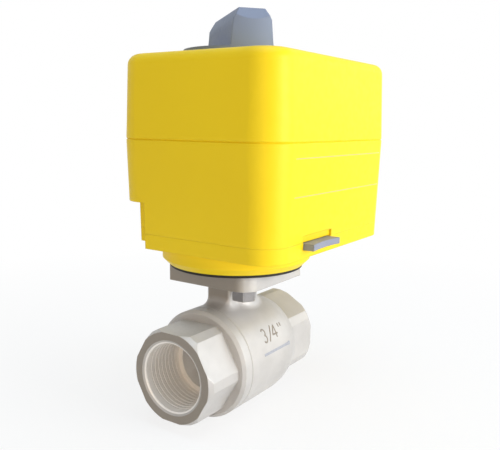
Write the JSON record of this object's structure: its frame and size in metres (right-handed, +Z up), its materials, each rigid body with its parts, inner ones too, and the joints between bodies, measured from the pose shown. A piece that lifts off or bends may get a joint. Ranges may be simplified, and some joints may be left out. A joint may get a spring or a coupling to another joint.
{
  "type": "motorized ball valve",
  "caption": "Nickel-plated ball valve with female pipe ports and a clip-on quarter-turn electric actuator in a boxy yellow shell with a manual knob on top.",
  "frame": {"origin": "centre of the inlet port's mouth, on the pipe axis", "axes": "+X along the pipe from the inlet to the outlet, +Z up the stem towards the knob, -Y the side with the release latch"},
  "size_m": [0.0971, 0.0717, 0.144],
  "materials": {
    "nickel": "satin nickel plate",
    "plated_ball": "polished plate",
    "seat": "smooth",
    "black_rubber": "matt",
    "yellow_shell": "semi-gloss",
    "grey_knob": "satin",
    "grey_latch": "satin",
    "bolt_steel": "satin zinc",
    "steel": "satin",
    "gear_steel": "machined",
    "bush_brass": "turned",
    "motor_can": "zinc plate",
    "board_green": "solder mask",
    "black_plastic": "moulded",
    "blue_plastic": "moulded",
    "can_aluminium": "sleeved",
    "terminal_green": "moulded"
  },
  "bodies": {
    "valve": {"valve_body": "nickel", "end_connector": "nickel", "connector_ring": "black_rubber", "seat_inlet": "seat", "seat_outlet": "seat", "thrust_washer": "seat", "flange_gasket": "black_rubber", "flange_bolts": "bolt_steel", "mounting_base": "yellow_shell", "base_housing": "yellow_shell", "rim_seal": "black_rubber", "cable_grommet": "black_rubber", "top_cover": "yellow_shell", "cover_screws": "steel", "latch_spring": "steel", "low_plate": "steel", "high_plate": "steel", "plate_spacers": "bush_brass", "board_pillars": "steel", "board_screws": "steel", "bush_lower": "bush_brass", "bush_upper": "bush_brass", "idler_axle": "steel", "gear_motor": "motor_can", "motor_screws": "steel", "circuit_board": "board_green", "switch_open": "black_plastic", "switch_closed": "black_plastic", "relay": "blue_plastic", "capacitor": "can_aluminium", "terminal_block": "terminal_green"},
    "ball_drive": {"ball": "plated_ball", "stem": "nickel", "stem_ring_lower": "black_rubber", "stem_ring_upper": "black_rubber", "output_shaft": "steel", "output_gear": "gear_steel", "limit_cam": "seat", "shaft_clip": "steel", "manual_knob": "grey_knob", "knob_seal": "black_rubber", "knob_ring": "steel"},
    "idler": {"idler_gear": "gear_steel"},
    "motor_rotor": {"motor_shaft": "steel", "motor_pinion": "bush_brass"},
    "latch": {"latch_button": "grey_latch"}
  },
  "joints": [
    {"name": "ball_turn", "type": "hinge", "parent": "valve", "child": "ball_drive", "pos_m": [0.038, 0, 0], "axis": [0, 0, -1], "range_deg": [0, 90]},
    {"name": "idler_spin", "type": "hinge", "parent": "valve", "child": "idler", "pos_m": [0.0588, 0.01197, 0.06], "axis": [0, 0, -1], "range_deg": [-270, 0]},
    {"name": "motor_spin", "type": "hinge", "parent": "valve", "child": "motor_rotor", "pos_m": [0.0695, -0.0025, 0.06], "axis": [0, 0, -1], "range_deg": [0, 540]},
    {"name": "latch_press", "type": "slide", "parent": "valve", "child": "latch", "axis": [0, 1, 0], "range_m": [0, 0.0024], "stiffness_N_per_m": 200, "springref_m": -0.004, "deforming": ["latch_spring"]}
  ],
  "couplings": [
    {"joint": "idler_spin", "follows": "ball_turn", "ratio": -3},
    {"joint": "motor_spin", "follows": "ball_turn", "ratio": 6}
  ]
}
